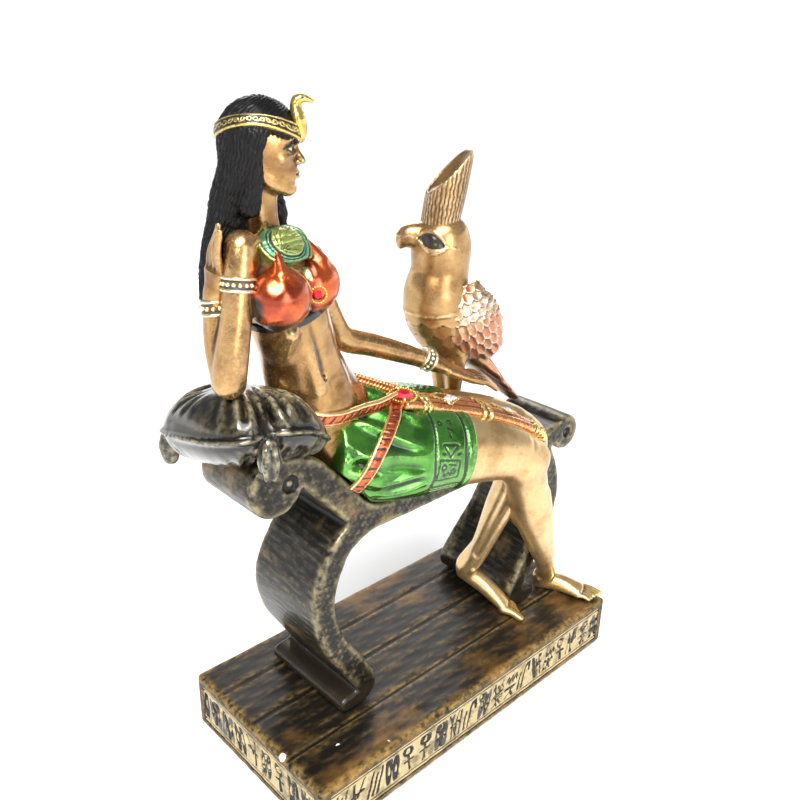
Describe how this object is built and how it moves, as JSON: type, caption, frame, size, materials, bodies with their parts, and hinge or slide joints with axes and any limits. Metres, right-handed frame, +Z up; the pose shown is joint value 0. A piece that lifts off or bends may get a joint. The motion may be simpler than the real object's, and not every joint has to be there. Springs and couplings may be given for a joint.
{
  "type": "figurine",
  "caption": "Painted resin statuette of an ancient Egyptian queen reclining on a scroll-ended chaise with a crowned falcon, on an oblong plinth.",
  "frame": {"origin": "middle of the plinth's underside", "axes": "+X along the plinth towards the queen's feet, -Y to the front, +Z up"},
  "size_m": [0.1894, 0.082, 0.2508],
  "materials": {
    "black_gold": "black painted resin with worn antique gold",
    "black_gloss": "glossy black painted resin with ochre wear",
    "bronze_gold": "metallic bronze gold paint on resin, with coloured dress",
    "red_stone": "red faceted stone",
    "clear_stone": "clear foil-backed stone"
  },
  "bodies": {
    "root": {"plinth": "black_gold", "couch": "black_gold", "cushion": "black_gloss", "queen": "bronze_gold", "falcon": "bronze_gold", "belt_gem": "red_stone", "bust_gem": "red_stone", "panel_gem_1": "clear_stone", "panel_gem_2": "clear_stone"}
  },
  "joints": []
}
